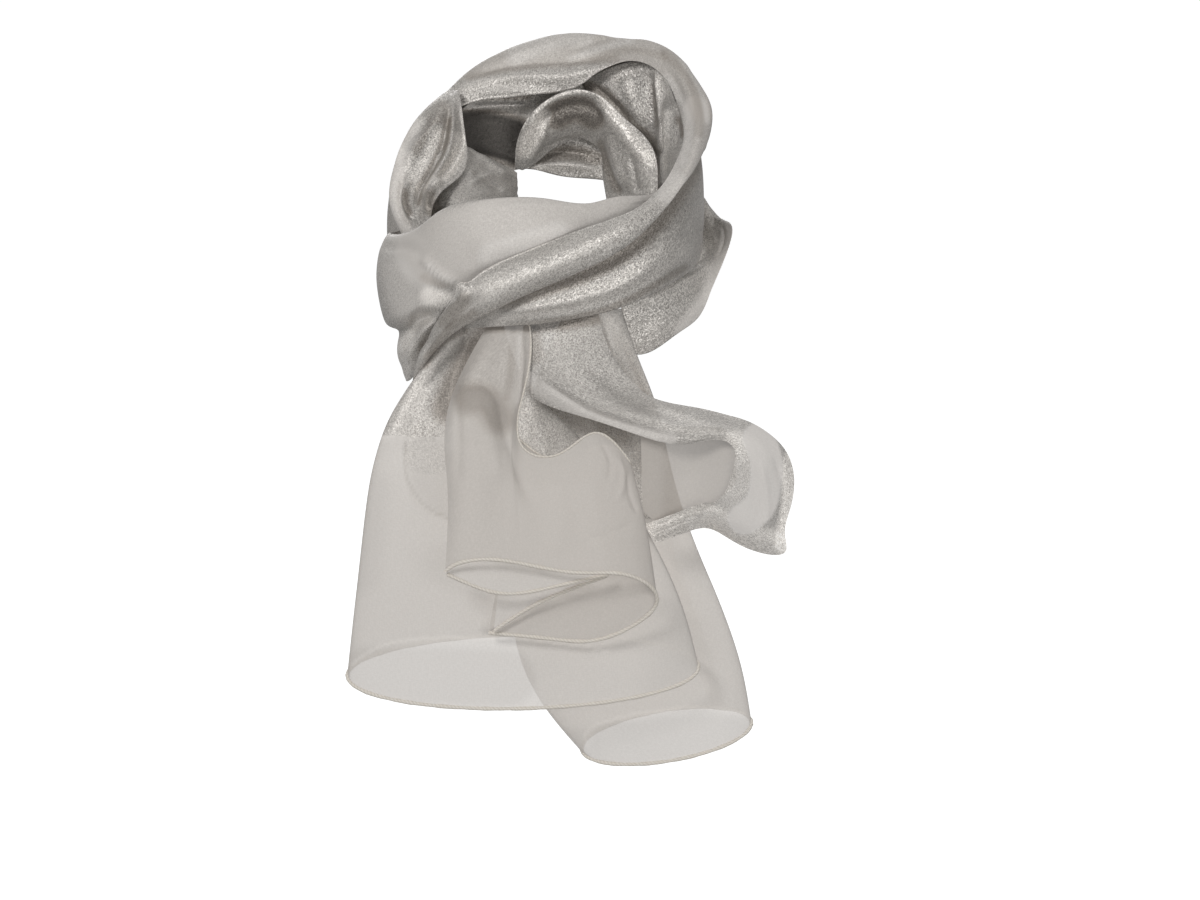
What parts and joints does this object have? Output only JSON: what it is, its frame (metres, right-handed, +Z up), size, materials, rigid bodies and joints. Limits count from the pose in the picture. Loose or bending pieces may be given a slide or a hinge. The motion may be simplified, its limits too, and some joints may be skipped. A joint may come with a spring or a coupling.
{
  "type": "scarf",
  "caption": "Long sheer shimmering scarf, wound round an absent neck and knotted at the front, its wide plain ends hanging down as flat open tubes.",
  "frame": {"origin": "middle of the empty neck opening, where a neck or a display neck holds the scarf", "axes": "+Z up; -Y towards the viewer, on whose side the knot and the ends hang; +X to the viewer's right"},
  "size_m": [0.3067, 0.2471, 0.5006],
  "materials": {
    "shimmer_organza": "silver-grey organza with a metallic sparkle in the weave, slightly see-through",
    "sheer_organza": "plain sheer organza border, see-through, matte with a faint gloss"
  },
  "bodies": {
    "root": {"back_turn": "shimmer_organza", "collar_back": "shimmer_organza", "collar_left": "shimmer_organza", "front_roll": "shimmer_organza", "front_upper": "shimmer_organza", "front_lower": "shimmer_organza", "side_flap": "shimmer_organza", "inner_back": "shimmer_organza", "inner_arch": "shimmer_organza", "inner_right": "shimmer_organza", "nape_left": "shimmer_organza", "tail_left": "sheer_organza", "tail_back": "sheer_organza", "tail_front": "sheer_organza", "tail_pleat": "sheer_organza", "tail_right": "shimmer_organza", "tail_gutter": "sheer_organza", "tail_inner": "shimmer_organza"}
  },
  "joints": []
}
